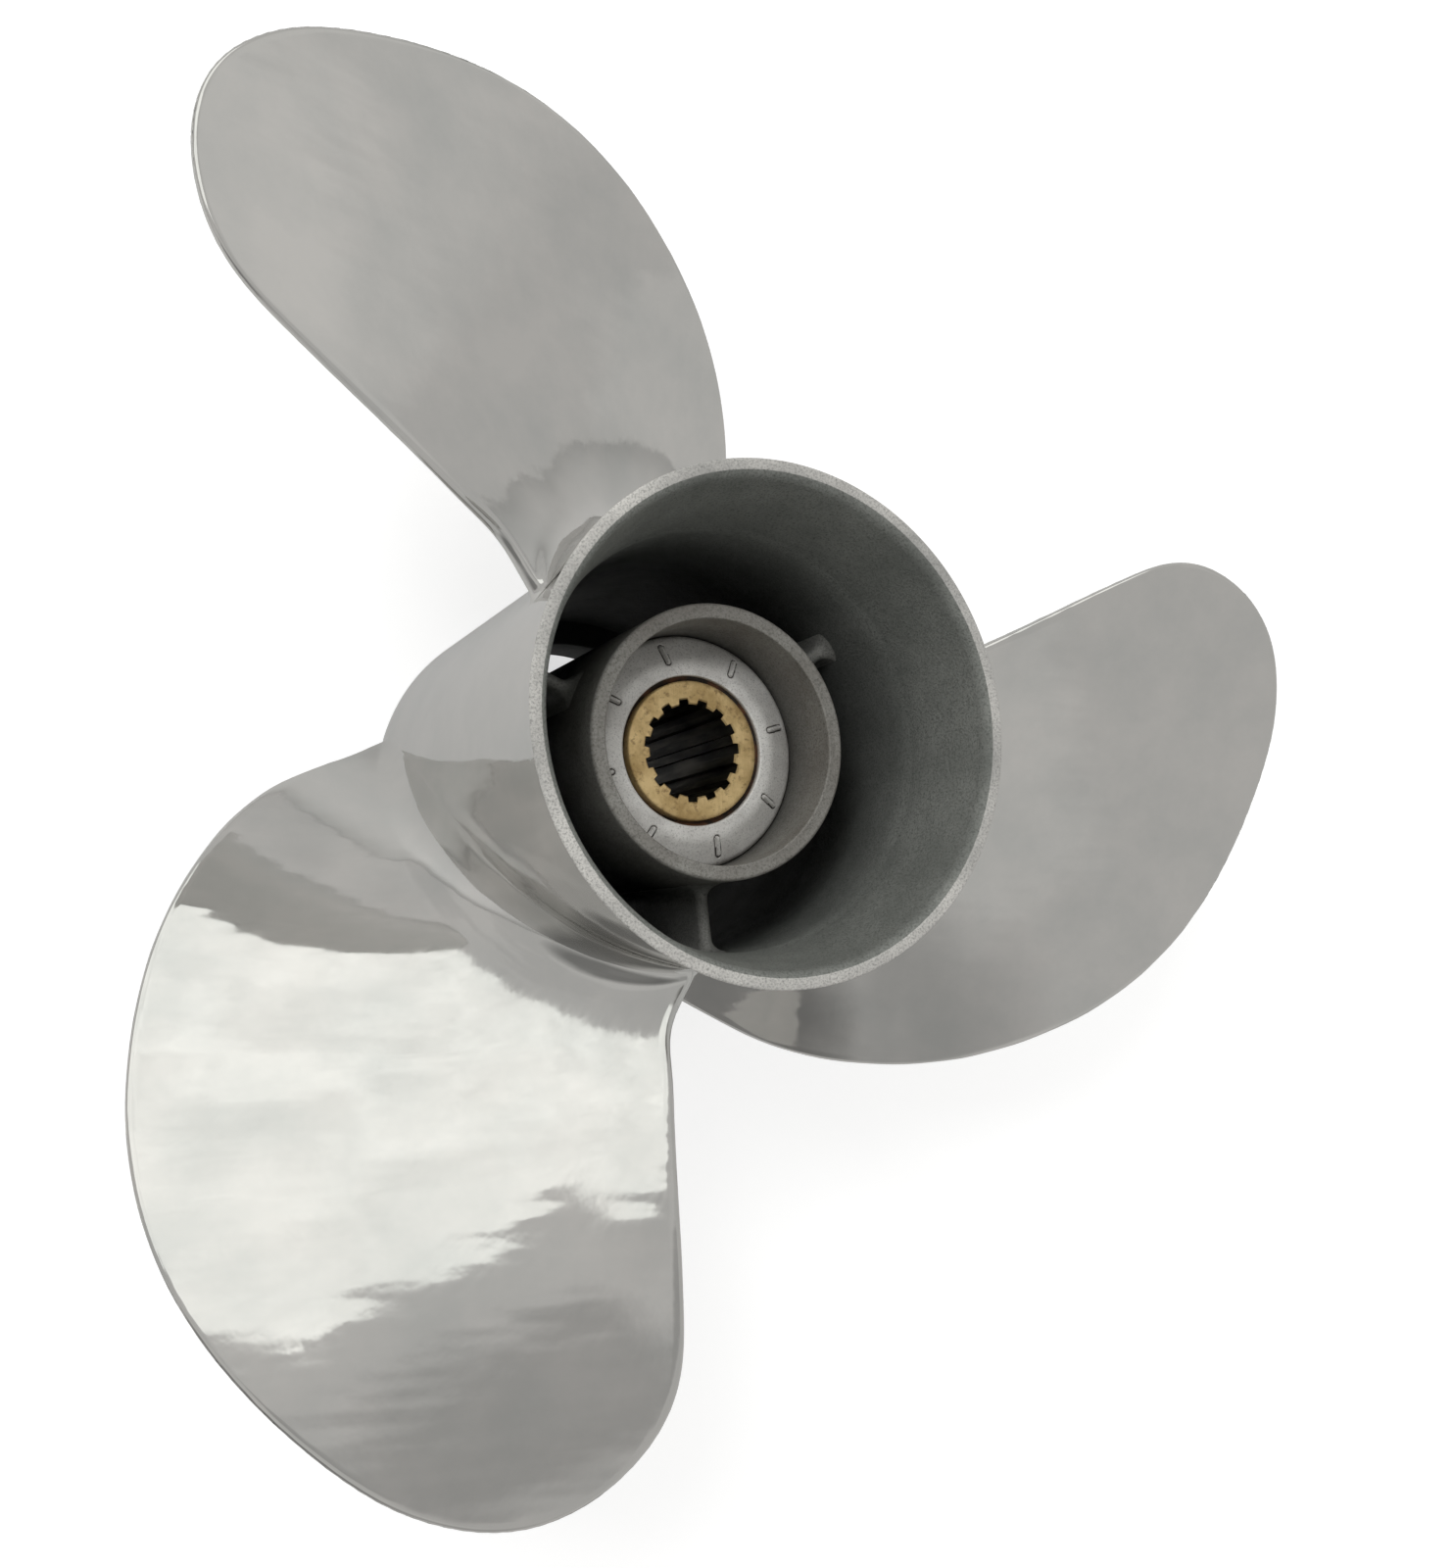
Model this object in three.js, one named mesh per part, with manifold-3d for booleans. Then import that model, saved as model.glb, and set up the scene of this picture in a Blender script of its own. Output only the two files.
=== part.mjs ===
// A three-blade through-hub-exhaust outboard propeller, in millimetres.
// +Z is the shaft axis and points aft, to the flared exhaust end. The origin is on the shaft axis,
// in the plane of the hub's front ring, which the part stands on. Blade 1 lies along +X.

import * as THREE from 'three';
import { mergeVertices } from 'three/addons/utils/BufferGeometryUtils.js';
import { ParametricGeometry } from 'three/addons/geometries/ParametricGeometry.js';
import Module from 'manifold-3d';

const wasm = await Module();
wasm.setup();

// ---- Driving dimensions ----

const CLEARANCE = 0.3;          // gap kept between pieces that touch
const ROUND_SEGMENTS = 64;

const HUB_RADIUS = 53.8;
const HUB_LENGTH = 147.4;
const HUB_BORE_RADIUS = 50;
const HUB_FRONT_ROUND = 1.2;
const COLLAR_BORE_RADIUS = 43.6; // thicker ring inside the shell's front end
const COLLAR_HEIGHT = 16;
const COLLAR_SHOULDER = 3;
const RIM_RADIUS = 58;
const RIM_BORE_RADIUS = 55.3;
const RIM_ROUND = 0.4;
const FLARE_LENGTH = 11;        // concave flare outside, just ahead of the rim
const BORE_FLARE_LENGTH = 24;   // gentler flare inside

const BARREL_RADIUS = 33;
const BARREL_BORE_RADIUS = 29.3;
const BARREL_FRONT = 26;
const BARREL_AFT = 116.7;
const BARREL_ROUND = 0.9;

const RIB_COUNT = 3;
const RIB_THICKNESS = 3.4;
const RIB_FRONT = 30;
const RIB_AFT = 100;
const RIB_DISH = 2.5;           // how far the ribs' end edges are hollowed
const FIRST_RIB_ANGLE = 37.1;

const SLEEVE_RADIUS = 17.24;
const SLEEVE_FRONT = 24;
const SLEEVE_AFT = 101;
const SPLINE_COUNT = 15;
const SPLINE_MAJOR_RADIUS = 12.7;
const SPLINE_MINOR_RADIUS = 11.43;
const SPLINE_GROOVE_WIDTH = 2.4;
const FIRST_GROOVE_ANGLE = 6;
const SEAT_RADIUS = 15;         // tapered seat for the thrust washer, at the sleeve's front
const SEAT_DEPTH = 6;

const BUSH_FRONT = 36;
const BUSH_BORE_RADIUS = SLEEVE_RADIUS + CLEARANCE;
const BUSH_RADIUS = BARREL_BORE_RADIUS - CLEARANCE - 0.1;

const PLATE_THICKNESS = 1.5;
const PLATE_BORE_RADIUS = 18.53;
const PLATE_FLAT_RADIUS = 22;
const PLATE_RADIUS = BARREL_BORE_RADIUS - CLEARANCE;
const PLATE_DISH = 3;           // the plate's edge lies this far below its flat centre
const PLATE_RIB_COUNT = 8;
const PLATE_RIB_LENGTH = 4.2;
const PLATE_RIB_RADIUS = 0.8;
const PLATE_RIB_CENTRE = 24.4;
const FIRST_PLATE_RIB_ANGLE = 17.3;

const BLADE_COUNT = 3;
const PITCH = 322;
const RAKE = 0.176;             // axial rise per millimetre of radius
const REFERENCE_RADIUS = 111;
const REFERENCE_HEIGHT = 101.7; // of the generator line at the reference radius
const TWIST_EASING = 3.5;       // axial change per radian that slackens the pitch near the hub
const NOSE_DROOP = 17.2;        // how far the leading edge leans forward at the root, per square radian
const TIP_RADIUS = 177.8;
const ROOT_THICKNESS = 8.5;
const TIP_THICKNESS = 3.2;
const EDGE_THICKNESS = 2;
const CHORD_STEPS = 18;
const SPAN_STEPS = 16;

// The blade's outline as [radius, degrees from the blade's generator line]: up the leading edge from
// the root, round the tip and back down the trailing edge.
const BLADE_OUTLINE = [
  [54.1, -72], [68, -63], [95.5, -53], [119.5, -42.2], [137, -33.3], [155, -23], [166.5, -13.6],
  [174.6, -1.9], [177.7, 6.7], [173.5, 13.8],
  [160.5, 19.7], [143, 23.3], [120.5, 23.5], [84, 21.9], [67.4, 21], [54.1, 25],
];
const LEADING_CORNER = 6.3;     // where the tip's arc begins and ends, counted in outline points
const TRAILING_CORNER = 9.6;

// ---- Finishes ----

const STEEL = { color: 0xb4b5b3, metalness: 1, roughness: 0.18 };
const BLASTED = { color: 0x6f706d, metalness: 0.9, roughness: 0.6 };
const ZINC = { color: 0x9a9a98, metalness: 0.9, roughness: 0.42 };
const BRASS = { color: 0xb8924f, metalness: 0.9, roughness: 0.4 };
const RUBBER = { color: 0x1c1b1a, metalness: 0, roughness: 0.85 };

// ---- Helpers ----

const radians = THREE.MathUtils.degToRad;

// Merges a geometry's shared corners, so that only one closed skin of real triangles is left.
function weld(geometry) {
  geometry.deleteAttribute('normal');
  geometry.deleteAttribute('uv');
  const welded = mergeVertices(geometry, 1e-4);
  const corners = welded.index.array;
  const kept = [];
  for (let i = 0; i < corners.length; i += 3) {
    const [a, b, c] = corners.slice(i, i + 3);
    if (a !== b && b !== c && c !== a) kept.push(a, b, c);
  }
  welded.setIndex(kept);
  return welded;
}

function toSolid(geometry) {
  const welded = weld(geometry);
  return new wasm.Manifold(new wasm.Mesh({
    numProp: 3,
    vertProperties: new Float32Array(welded.attributes.position.array),
    triVerts: new Uint32Array(welded.index.array),
  }));
}

function fromSolid(solid) {
  const { vertProperties, triVerts } = solid.getMesh();
  const geometry = new THREE.BufferGeometry();
  geometry.setAttribute('position', new THREE.BufferAttribute(vertProperties, 3));
  geometry.setIndex(new THREE.BufferAttribute(triVerts, 1));
  return geometry;
}

// Turns a closed profile of [radius, height] points about +Z.
function turned(profile, segments = ROUND_SEGMENTS) {
  const points = [...profile, profile[0]].map(([radius, height]) => new THREE.Vector2(radius, height));
  const geometry = new THREE.LatheGeometry(points, segments);
  geometry.rotateX(Math.PI / 2);
  return weld(geometry);
}

function piece(name, geometry, finish) {
  geometry.computeVertexNormals();
  const mesh = new THREE.Mesh(geometry, new THREE.MeshStandardMaterial(finish));
  mesh.name = name;
  return mesh;
}

// ---- Hub casting ----

function hubShell() {
  const rise = RIM_RADIUS - HUB_RADIUS;
  const flareRadius = (FLARE_LENGTH ** 2 + rise ** 2) / (2 * rise);
  const flareStart = HUB_LENGTH - RIM_ROUND - FLARE_LENGTH;
  const flare = [0, 0.3, 0.55, 0.8, 1].map((part) => {
    const along = part * FLARE_LENGTH;
    return [HUB_RADIUS + flareRadius - Math.sqrt(flareRadius ** 2 - along ** 2), flareStart + along];
  });
  const boreRise = RIM_BORE_RADIUS - HUB_BORE_RADIUS;
  const boreFlare = [1, 0.66, 0.33, 0].map((part) => [
    HUB_BORE_RADIUS + boreRise * part ** 1.5,
    HUB_LENGTH - RIM_ROUND - BORE_FLARE_LENGTH * (1 - part),
  ]);
  return turned([
    [HUB_BORE_RADIUS, COLLAR_HEIGHT + COLLAR_SHOULDER],
    [COLLAR_BORE_RADIUS, COLLAR_HEIGHT],
    [COLLAR_BORE_RADIUS, 0],
    [HUB_RADIUS - HUB_FRONT_ROUND, 0],
    [HUB_RADIUS, HUB_FRONT_ROUND],
    ...flare,
    [RIM_RADIUS - RIM_ROUND, HUB_LENGTH],
    [RIM_BORE_RADIUS + RIM_ROUND, HUB_LENGTH],
    ...boreFlare,
  ]);
}

function innerBarrel() {
  return turned([
    [BARREL_BORE_RADIUS, BARREL_FRONT],
    [BARREL_RADIUS, BARREL_FRONT],
    [BARREL_RADIUS, BARREL_AFT - BARREL_ROUND],
    [BARREL_RADIUS - BARREL_ROUND, BARREL_AFT],
    [BARREL_BORE_RADIUS + BARREL_ROUND, BARREL_AFT],
    [BARREL_BORE_RADIUS, BARREL_AFT - BARREL_ROUND],
  ]);
}

// A radial web between the barrel and the shell, standing on the +X half of the XZ plane.
function exhaustRib() {
  const inner = BARREL_RADIUS + CLEARANCE;
  const outer = HUB_BORE_RADIUS - CLEARANCE;
  const middle = (inner + outer) / 2;
  const outline = new THREE.Shape();
  outline.moveTo(inner, RIB_FRONT);
  outline.quadraticCurveTo(middle, RIB_FRONT + 2 * RIB_DISH, outer, RIB_FRONT);
  outline.lineTo(outer, RIB_AFT);
  outline.quadraticCurveTo(middle, RIB_AFT - 2 * RIB_DISH, inner, RIB_AFT);
  const geometry = new THREE.ExtrudeGeometry(outline, {
    depth: RIB_THICKNESS,
    bevelEnabled: false,
    curveSegments: 8,
  });
  geometry.translate(0, 0, -RIB_THICKNESS / 2);
  geometry.rotateX(Math.PI / 2);
  return weld(geometry);
}

// ---- Blades ----

const outlineCurve = new THREE.CatmullRomCurve3(
  BLADE_OUTLINE.map(([radius, degrees]) => new THREE.Vector3(radius, degrees, 0)),
  false,
  'catmullrom',
);

// A point of the outline, counted in outline points from the leading edge's root.
const outlineAt = (count) => outlineCurve.getPoint(count / (BLADE_OUTLINE.length - 1));

// Fills the outline with a four-sided patch: across the chord from 0 to 1, and up the span from 0 to 1.
function patchPoint(chord, span) {
  const last = BLADE_OUTLINE.length - 1;
  const { lerp } = THREE.MathUtils;
  const leading = outlineAt(span * LEADING_CORNER);
  const trailing = outlineAt(last - span * (last - TRAILING_CORNER));
  const tip = outlineAt(lerp(LEADING_CORNER, TRAILING_CORNER, chord));
  const root = outlineAt(0).lerp(outlineAt(last), chord);
  const corners = outlineAt(0).lerp(outlineAt(last), chord)
    .lerp(outlineAt(LEADING_CORNER).lerp(outlineAt(TRAILING_CORNER), chord), span);
  return leading.lerp(trailing, chord).add(root.lerp(tip, span)).sub(corners);
}

// Height of the blade's driving face: a helicoid with rake, whose leading edge leans forward near the hub.
function faceHeight(radius, angle) {
  const lean = NOSE_DROOP * Math.min(angle, 0) ** 2 * (171 - radius) / 117;
  const easing = TWIST_EASING * angle * (REFERENCE_RADIUS - radius) / (REFERENCE_RADIUS - HUB_RADIUS);
  return REFERENCE_HEIGHT + PITCH * angle / (2 * Math.PI)
    + RAKE * (radius - REFERENCE_RADIUS) - lean - easing;
}

function thicknessAt(chord, radius) {
  const span = (radius - HUB_RADIUS) / (TIP_RADIUS - HUB_RADIUS);
  const middle = THREE.MathUtils.lerp(ROOT_THICKNESS, TIP_THICKNESS, span ** 0.8);
  return EDGE_THICKNESS + (middle - EDGE_THICKNESS) * Math.sin(Math.PI * chord) ** 0.8;
}

// A point of the blade, moved along its cylinder square to the face: forward for a positive depth.
function bladePoint(radius, angle, depth, target) {
  const slope = Math.atan2(PITCH / (2 * Math.PI), radius);
  const turnedAngle = angle + depth * Math.sin(slope) / radius;
  const height = faceHeight(radius, angle) - depth * Math.cos(slope);
  target.set(radius * Math.cos(turnedAngle), radius * Math.sin(turnedAngle), height);
}

// The skin goes round each section, over the driving face and back under it. Its first and last rows
// close it at the root and along the tip's arc.
function blade() {
  const loopSteps = 2 * CHORD_STEPS + 2;
  const rows = SPAN_STEPS + 2;
  const skin = (u, v, target) => {
    const step = Math.round((1 - u) * loopSteps) % loopSteps;
    const onFace = step <= CHORD_STEPS;
    const chordStep = onFace ? step : loopSteps - 1 - step;
    const chord = (1 - Math.cos(Math.PI * chordStep / CHORD_STEPS)) / 2;
    const row = Math.round(v * rows);
    const span = THREE.MathUtils.clamp((row - 1) / SPAN_STEPS, 0, 1);
    const { x: radius, y: degrees } = patchPoint(chord, span);
    const thickness = thicknessAt(chord, radius);
    const closing = row === 0 || row === rows;
    const faceDepth = -EDGE_THICKNESS / 2;
    const backDepth = faceDepth + thickness;
    const sideDepth = onFace ? faceDepth : backDepth;
    bladePoint(radius, radians(degrees), closing ? (faceDepth + backDepth) / 2 : sideDepth, target);
  };
  return weld(new ParametricGeometry(skin, loopSteps, rows));
}

// ---- Drive hub ----

// Each groove's two walls lean a little apart towards the bore.
function splineBore() {
  const step = 360 / SPLINE_COUNT;
  const rootHalf = THREE.MathUtils.radToDeg(SPLINE_GROOVE_WIDTH / 2 / SPLINE_MAJOR_RADIUS);
  const mouthHalf = THREE.MathUtils.radToDeg(SPLINE_GROOVE_WIDTH / 2 / SPLINE_MINOR_RADIUS) + 0.6;
  const corners = [
    [SPLINE_MINOR_RADIUS, -mouthHalf],
    [SPLINE_MAJOR_RADIUS, -rootHalf],
    [SPLINE_MAJOR_RADIUS, rootHalf],
    [SPLINE_MINOR_RADIUS, mouthHalf],
    [SPLINE_MINOR_RADIUS, step / 2],
  ];
  const points = [];
  for (let i = 0; i < SPLINE_COUNT; i += 1) {
    for (const [radius, degrees] of corners) {
      const angle = radians(FIRST_GROOVE_ANGLE + i * step + degrees);
      points.push(new THREE.Vector2(radius * Math.cos(angle), radius * Math.sin(angle)));
    }
  }
  return new THREE.Path(points);
}

function brassSleeve() {
  const section = new THREE.Shape();
  section.absarc(0, 0, SLEEVE_RADIUS, 0, 2 * Math.PI);
  section.holes.push(splineBore());
  const tube = new THREE.ExtrudeGeometry(section, {
    depth: SLEEVE_AFT - SLEEVE_FRONT,
    bevelEnabled: false,
    curveSegments: 48,
  });
  tube.translate(0, 0, SLEEVE_FRONT);
  const seat = turned([
    [0, SLEEVE_FRONT - 1],
    [SEAT_RADIUS, SLEEVE_FRONT - 1],
    [SEAT_RADIUS, SLEEVE_FRONT],
    [SPLINE_MINOR_RADIUS - 1, SLEEVE_FRONT + SEAT_DEPTH],
    [0, SLEEVE_FRONT + SEAT_DEPTH],
  ], 48);
  return fromSolid(toSolid(tube).subtract(toSolid(seat)));
}

function rubberBush() {
  const aft = SLEEVE_AFT - PLATE_THICKNESS - CLEARANCE;
  return turned([
    [BUSH_BORE_RADIUS, BUSH_FRONT],
    [BUSH_RADIUS, BUSH_FRONT],
    [BUSH_RADIUS, aft - PLATE_DISH],
    [PLATE_FLAT_RADIUS, aft],
    [BUSH_BORE_RADIUS, aft],
  ], 48);
}

// A dished steel washer with short ribs stamped up out of its sloping part.
function endPlate() {
  const top = SLEEVE_AFT;
  const bottom = top - PLATE_THICKNESS;
  let plate = toSolid(turned([
    [PLATE_BORE_RADIUS, bottom],
    [PLATE_FLAT_RADIUS, bottom],
    [PLATE_RADIUS, bottom - PLATE_DISH],
    [PLATE_RADIUS, top - PLATE_DISH - 0.4],
    [PLATE_RADIUS - 0.6, top - PLATE_DISH + 0.1],
    [PLATE_FLAT_RADIUS, top],
    [PLATE_BORE_RADIUS, top],
  ], 48));
  const slope = PLATE_DISH / (PLATE_RADIUS - PLATE_FLAT_RADIUS);
  for (let i = 0; i < PLATE_RIB_COUNT; i += 1) {
    const rib = new THREE.CapsuleGeometry(PLATE_RIB_RADIUS, PLATE_RIB_LENGTH, 3, 8);
    rib.rotateZ(Math.PI / 2);
    rib.rotateY(Math.atan(slope));
    rib.translate(PLATE_RIB_CENTRE, 0, top - slope * (PLATE_RIB_CENTRE - PLATE_FLAT_RADIUS) - 0.2);
    rib.rotateZ(radians(FIRST_PLATE_RIB_ANGLE + i * 360 / PLATE_RIB_COUNT));
    plate = plate.add(toSolid(rib));
  }
  return fromSolid(plate);
}

// ---- Assembly ----

const propeller = new THREE.Group();
propeller.name = 'propeller';

const casting = new THREE.Group();
casting.name = 'casting';
casting.add(piece('hub_shell', hubShell(), STEEL));
casting.add(piece('inner_barrel', innerBarrel(), BLASTED));
for (let i = 0; i < RIB_COUNT; i += 1) {
  const rib = piece(`exhaust_rib_${i + 1}`, exhaustRib(), BLASTED);
  rib.rotation.z = radians(FIRST_RIB_ANGLE + i * 360 / RIB_COUNT);
  casting.add(rib);
}
for (let i = 0; i < BLADE_COUNT; i += 1) {
  const wing = piece(`blade_${i + 1}`, blade(), STEEL);
  wing.rotation.z = radians(i * 360 / BLADE_COUNT);
  casting.add(wing);
}
casting.add(piece('rubber_bush', rubberBush(), RUBBER));
casting.add(piece('end_plate', endPlate(), ZINC));

const driveHub = new THREE.Group();
driveHub.name = 'drive_hub';
driveHub.add(piece('brass_sleeve', brassSleeve(), BRASS));

propeller.add(casting, driveHub);

export default propeller;
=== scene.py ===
import math

import bpy
import numpy as np
from mathutils import Matrix, Vector

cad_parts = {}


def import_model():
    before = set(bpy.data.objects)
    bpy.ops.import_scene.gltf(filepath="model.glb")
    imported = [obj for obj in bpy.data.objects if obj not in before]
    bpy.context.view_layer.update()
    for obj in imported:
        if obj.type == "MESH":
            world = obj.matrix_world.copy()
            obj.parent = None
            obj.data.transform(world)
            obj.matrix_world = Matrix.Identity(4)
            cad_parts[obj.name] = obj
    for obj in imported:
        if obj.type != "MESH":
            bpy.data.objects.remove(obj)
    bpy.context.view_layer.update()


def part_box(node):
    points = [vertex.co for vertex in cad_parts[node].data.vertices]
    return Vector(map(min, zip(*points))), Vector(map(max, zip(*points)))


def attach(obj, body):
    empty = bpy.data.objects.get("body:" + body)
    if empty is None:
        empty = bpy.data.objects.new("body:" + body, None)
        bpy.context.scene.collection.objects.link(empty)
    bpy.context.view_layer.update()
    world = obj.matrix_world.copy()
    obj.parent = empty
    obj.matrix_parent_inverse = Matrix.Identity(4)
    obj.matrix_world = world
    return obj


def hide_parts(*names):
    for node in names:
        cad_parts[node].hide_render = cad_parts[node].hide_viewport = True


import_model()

# Lengths in this script are millimetres, and finished meshes are scaled to metres.
MM = 0.001


# ---- Sizes, read from the frame ----

def reach(node):
    """The greatest radius from the shaft axis of a round node, in millimetres."""
    low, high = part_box(node)
    return max(high.x, high.y, -low.x, -low.y) / MM


def front_of(node):
    """A node's foremost height, in millimetres."""
    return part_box(node)[0].z / MM


def aft_of(node):
    """A node's aftmost height, in millimetres."""
    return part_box(node)[1].z / MM


HUB_LENGTH = aft_of("hub_shell")
RIM_RADIUS = reach("hub_shell")
BARREL_RADIUS = reach("inner_barrel")
BARREL_FRONT = front_of("inner_barrel")
BARREL_AFT = aft_of("inner_barrel")
RIB_FRONT = front_of("exhaust_rib_1")
RIB_AFT = aft_of("exhaust_rib_1")
SLEEVE_RADIUS = reach("brass_sleeve")
SLEEVE_FRONT = front_of("brass_sleeve")
SLEEVE_AFT = aft_of("brass_sleeve")
BUSH_FRONT = front_of("rubber_bush")
BUSH_RADIUS = reach("rubber_bush")
PLATE_RADIUS = reach("end_plate")
PLATE_UNDERSIDE = front_of("end_plate")

# ---- Sizes that the boxes don't give ----

HUB_RADIUS = 53.8
HUB_BORE_RADIUS = 50.0
RIM_BORE_RADIUS = 55.3
FLARE_LENGTH = 11.0
BORE_FLARE_LENGTH = 24.0
COLLAR_BORE_RADIUS = 43.6
COLLAR_HEIGHT = 16.0
COLLAR_SHOULDER = 3.0
BARREL_BORE_RADIUS = 29.3

RIB_COUNT = 3
RIB_THICKNESS = 3.4
FIRST_RIB_ANGLE = 37.1

PLATE_BORE_RADIUS = 18.53
PLATE_FLAT_RADIUS = 22.0
PLATE_THICKNESS = 1.5
PLATE_DISH = 3.0
PLATE_ROLL = 1.4
PLATE_RIB_COUNT = 8
FIRST_PLATE_RIB_ANGLE = 17.3

SPLINE_COUNT = 15
SPLINE_MAJOR_RADIUS = 12.7
SPLINE_MINOR_RADIUS = 11.43
SPLINE_GROOVE_WIDTH = 2.4
FIRST_GROOVE_ANGLE = 6.0

BLADE_COUNT = 3
PITCH = 322.0
RAKE = 0.176
REFERENCE_RADIUS = 111.0
REFERENCE_HEIGHT = 101.7
TWIST_EASING = 3.5
NOSE_DROOP = 17.2
NOSE_DROOP_END = 171.0
NOSE_DROOP_SPAN = 117.0
TIP_RADIUS = 177.8
# The blade's edge as radius and degrees round the shaft, from the leading root to the trailing root.
BLADE_OUTLINE = np.array([
    [54.1, -72], [68, -63], [95.5, -53], [119.5, -42.2], [137, -33.3], [155, -23], [166.5, -13.6],
    [174.6, -1.9], [177.7, 6.7], [173.5, 13.8],
    [160.5, 19.7], [143, 23.3], [120.5, 23.5], [84, 21.9], [67.4, 21], [54.1, 25],
])
# Where the leading edge ends and the trailing edge begins, counted in outline points.
LEADING_CORNER = 6.3
TRAILING_CORNER = 9.6

ROOT_THICKNESS = 8.5
TIP_THICKNESS = 3.2
EDGE_ROUND = 1.05
EDGE_FILLET = 1.6
AFT_FILLET = 15.0
FRONT_FILLET = 8.0


# ---- Mesh helpers ----

def make_piece(name, vertices, faces, materials, face_materials=None, sharp_angle=38.0):
    """A smooth-shaded mesh object from millimetre vertices."""
    mesh = bpy.data.meshes.new(name)
    mesh.from_pydata((np.asarray(vertices, float) * MM).tolist(), [], [list(map(int, f)) for f in faces])
    mesh.validate()
    for material in materials:
        mesh.materials.append(material)
    if face_materials is not None:
        mesh.polygons.foreach_set("material_index", np.asarray(face_materials, np.int32))
    mesh.polygons.foreach_set("use_smooth", np.ones(len(mesh.polygons), bool))
    mesh.set_sharp_from_angle(angle=math.radians(sharp_angle))
    mesh.update()
    piece = bpy.data.objects.new(name, mesh)
    bpy.context.scene.collection.objects.link(piece)
    return piece


def loft(loops, closed_along=False):
    """Vertices and quads through a stack of closed loops, each an array of points."""
    loops = np.asarray(loops, float)
    rows, count, _ = loops.shape
    index = np.arange(rows * count).reshape(rows, count)
    beside = np.roll(index, -1, axis=1)
    above = np.roll(index, -1, axis=0)
    above_beside = np.roll(above, -1, axis=1)
    last = rows if closed_along else rows - 1
    quads = np.stack([index, beside, above_beside, above], axis=-1)[:last]
    return loops.reshape(-1, 3), quads.reshape(-1, 4)


def turned(name, profile, materials, strip_materials=None, segments=256, **options):
    """A closed profile of (radius, height) points, listed counter-clockwise, turned about the shaft axis."""
    profile = np.asarray(profile, float)
    angles = np.linspace(0, 2 * math.pi, segments, endpoint=False)
    loops = np.empty((len(profile), segments, 3))
    loops[:, :, 0] = profile[:, :1] * np.cos(angles)
    loops[:, :, 1] = profile[:, :1] * np.sin(angles)
    loops[:, :, 2] = profile[:, 1:]
    vertices, quads = loft(loops, closed_along=True)
    face_materials = None if strip_materials is None else np.repeat(strip_materials, segments)
    return make_piece(name, vertices, quads[:, ::-1], materials, face_materials, **options)


def arc(centre, radius, start, end, steps):
    """Points on a circular arc in a profile, from start to end degrees."""
    angles = np.radians(np.linspace(start, end, steps))
    return [(centre[0] + radius * math.cos(a), centre[1] + radius * math.sin(a)) for a in angles]


def spin(piece, degrees):
    """Turns a piece's mesh about the shaft axis."""
    piece.data.transform(Matrix.Rotation(math.radians(degrees), 4, "Z"))
    return piece


def fillet_offset(height, radius):
    """How far a surface stands proud of its straight line at a height above the root of a round fillet."""
    inside = np.clip(radius - height, 0, radius)
    return radius - np.sqrt(radius ** 2 - inside ** 2)


# ---- Materials ----

class Shader:
    """A node material under construction, with short calls for the nodes it is made of."""

    def __init__(self, name):
        self.material = bpy.data.materials.new(name)
        self.material.use_nodes = True
        self.tree = self.material.node_tree
        self.surface = self.tree.nodes["Principled BSDF"]
        self.place = self.node("ShaderNodeTexCoord").outputs["Object"]

    def node(self, kind, **settings):
        made = self.tree.nodes.new(kind)
        for key, value in settings.items():
            setattr(made, key, value)
        return made

    def link(self, source, target):
        self.tree.links.new(source, target)

    def base(self, **values):
        for key, value in values.items():
            self.surface.inputs[key.replace("_", " ")].default_value = value

    def stretched(self, scale):
        mapping = self.node("ShaderNodeMapping")
        mapping.inputs["Scale"].default_value = scale
        self.link(self.place, mapping.inputs["Vector"])
        return mapping.outputs["Vector"]

    def noise(self, scale, detail=3.0, roughness=0.5, place=None):
        noise = self.node("ShaderNodeTexNoise")
        noise.inputs["Scale"].default_value = scale
        noise.inputs["Detail"].default_value = detail
        noise.inputs["Roughness"].default_value = roughness
        self.link(place or self.place, noise.inputs["Vector"])
        return noise.outputs["Fac"]

    def spread(self, value, low, high, to_low=0.0, to_high=1.0):
        spread = self.node("ShaderNodeMapRange")
        for key, number in zip(("From Min", "From Max", "To Min", "To Max"), (low, high, to_low, to_high)):
            spread.inputs[key].default_value = number
        self.link(value, spread.inputs["Value"])
        return spread.outputs["Result"]

    def height(self):
        split = self.node("ShaderNodeSeparateXYZ")
        self.link(self.place, split.inputs["Vector"])
        return split.outputs["Z"]

    def mix(self, factor, first, second):
        mix = self.node("ShaderNodeMix", data_type="RGBA")
        self.link(factor, mix.inputs["Factor"])
        for socket, value in ((mix.inputs[6], first), (mix.inputs[7], second)):
            if isinstance(value, tuple):
                socket.default_value = (*value, 1.0)
            else:
                self.link(value, socket)
        return mix.outputs[2]

    def colour(self, value):
        self.link(value, self.surface.inputs["Base Color"])

    def roughness(self, value):
        self.link(value, self.surface.inputs["Roughness"])

    def bump(self, *layers):
        """Each layer is (height, distance in metres), and they stack in order."""
        normal = None
        for value, distance in layers:
            bump = self.node("ShaderNodeBump")
            bump.inputs["Distance"].default_value = distance
            self.link(value, bump.inputs["Height"])
            if normal is not None:
                self.link(normal, bump.inputs["Normal"])
            normal = bump.outputs["Normal"]
        self.link(normal, self.surface.inputs["Normal"])


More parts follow.
